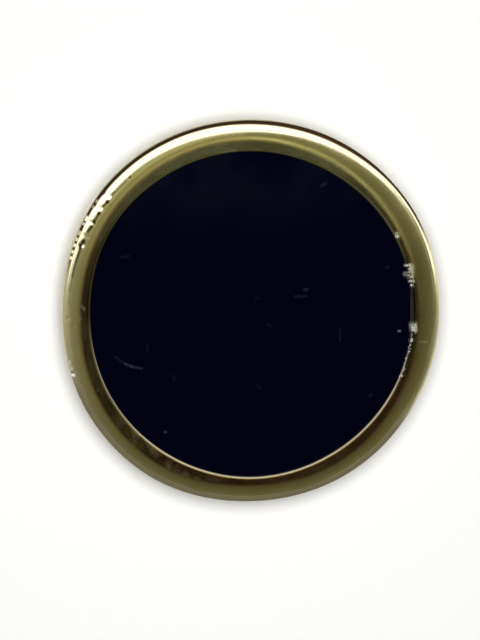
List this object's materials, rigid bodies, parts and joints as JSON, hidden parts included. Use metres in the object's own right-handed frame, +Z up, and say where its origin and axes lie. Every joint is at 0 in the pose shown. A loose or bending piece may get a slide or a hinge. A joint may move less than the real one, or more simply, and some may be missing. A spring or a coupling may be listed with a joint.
{
  "type": "cufflink",
  "caption": "Round cufflink with a rounded gold-tone rim round a flat black stone, on a straight post with a fixed round-ended bar back.",
  "frame": {"origin": "middle of the bar's flat underside, where the cufflink stands", "axes": "+Z up along the post towards the face, +X along the bar, +Y across the bar"},
  "size_m": [0.019, 0.019, 0.0177],
  "materials": {
    "gold_plate": "polished gold-tone plating, lightly scratched",
    "black_stone": "polished black, faintly blue",
    "gold_back": "polished gold-tone plating",
    "dried_polish": "chalky white crumbs of dried polish, along the stone's right edge"
  },
  "bodies": {
    "root": {"bezel": "gold_plate", "stone": "black_stone", "bar_back": "gold_back"}
  },
  "joints": []
}
